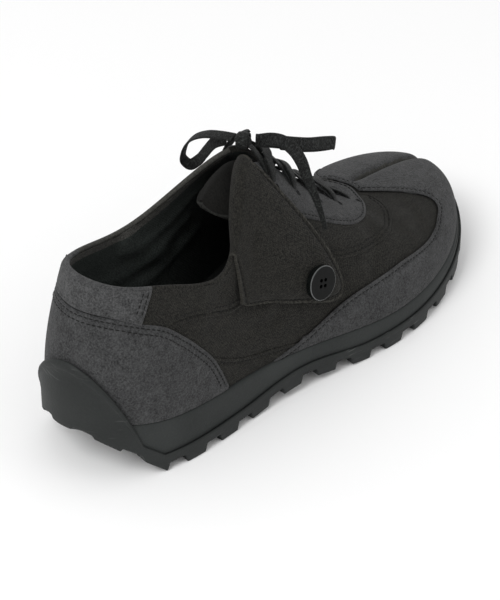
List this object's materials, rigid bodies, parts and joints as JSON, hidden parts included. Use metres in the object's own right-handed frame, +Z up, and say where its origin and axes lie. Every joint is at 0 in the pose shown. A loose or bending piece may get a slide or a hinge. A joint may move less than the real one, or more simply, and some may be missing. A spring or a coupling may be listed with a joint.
{
  "type": "tabi sneaker",
  "caption": "Right-foot low sneaker with a split toe, canvas upper, suede overlays, a buttoned canvas flap over the outer collar, flat laces and a lugged rubber sole that wraps the heel.",
  "frame": {"origin": "on the floor, under the middle of the shoe's length and width", "axes": "+X towards the toe, +Y towards the big toe's side, +Z up"},
  "size_m": [0.2953, 0.1117, 0.1276],
  "materials": {
    "outsole": "matte moulded rubber",
    "midsole": "matte foam",
    "insole": "matte",
    "upper": "matte woven canvas",
    "heel_counter": "napped suede",
    "back_tab": "napped suede",
    "toe_cap": "napped suede",
    "eyestay": "napped suede",
    "tongue": "matte",
    "collar_flap": "matte woven canvas",
    "flap_button": "satin",
    "lace_bars": "ribbed flat tape",
    "lace_knot": "ribbed flat tape",
    "lace_loop_outer": "ribbed flat tape",
    "lace_loop_inner": "ribbed flat tape",
    "lace_end_outer": "ribbed flat tape",
    "lace_end_inner": "ribbed flat tape"
  },
  "bodies": {
    "root": {"outsole": "outsole", "midsole": "midsole", "insole": "insole", "upper": "upper", "heel_counter": "heel_counter", "back_tab": "back_tab", "toe_cap": "toe_cap", "eyestay": "eyestay", "tongue": "tongue", "collar_flap": "collar_flap", "flap_button": "flap_button", "lace_bars": "lace_bars", "lace_knot": "lace_knot", "lace_loop_outer": "lace_loop_outer", "lace_loop_inner": "lace_loop_inner", "lace_end_outer": "lace_end_outer", "lace_end_inner": "lace_end_inner"}
  },
  "joints": []
}
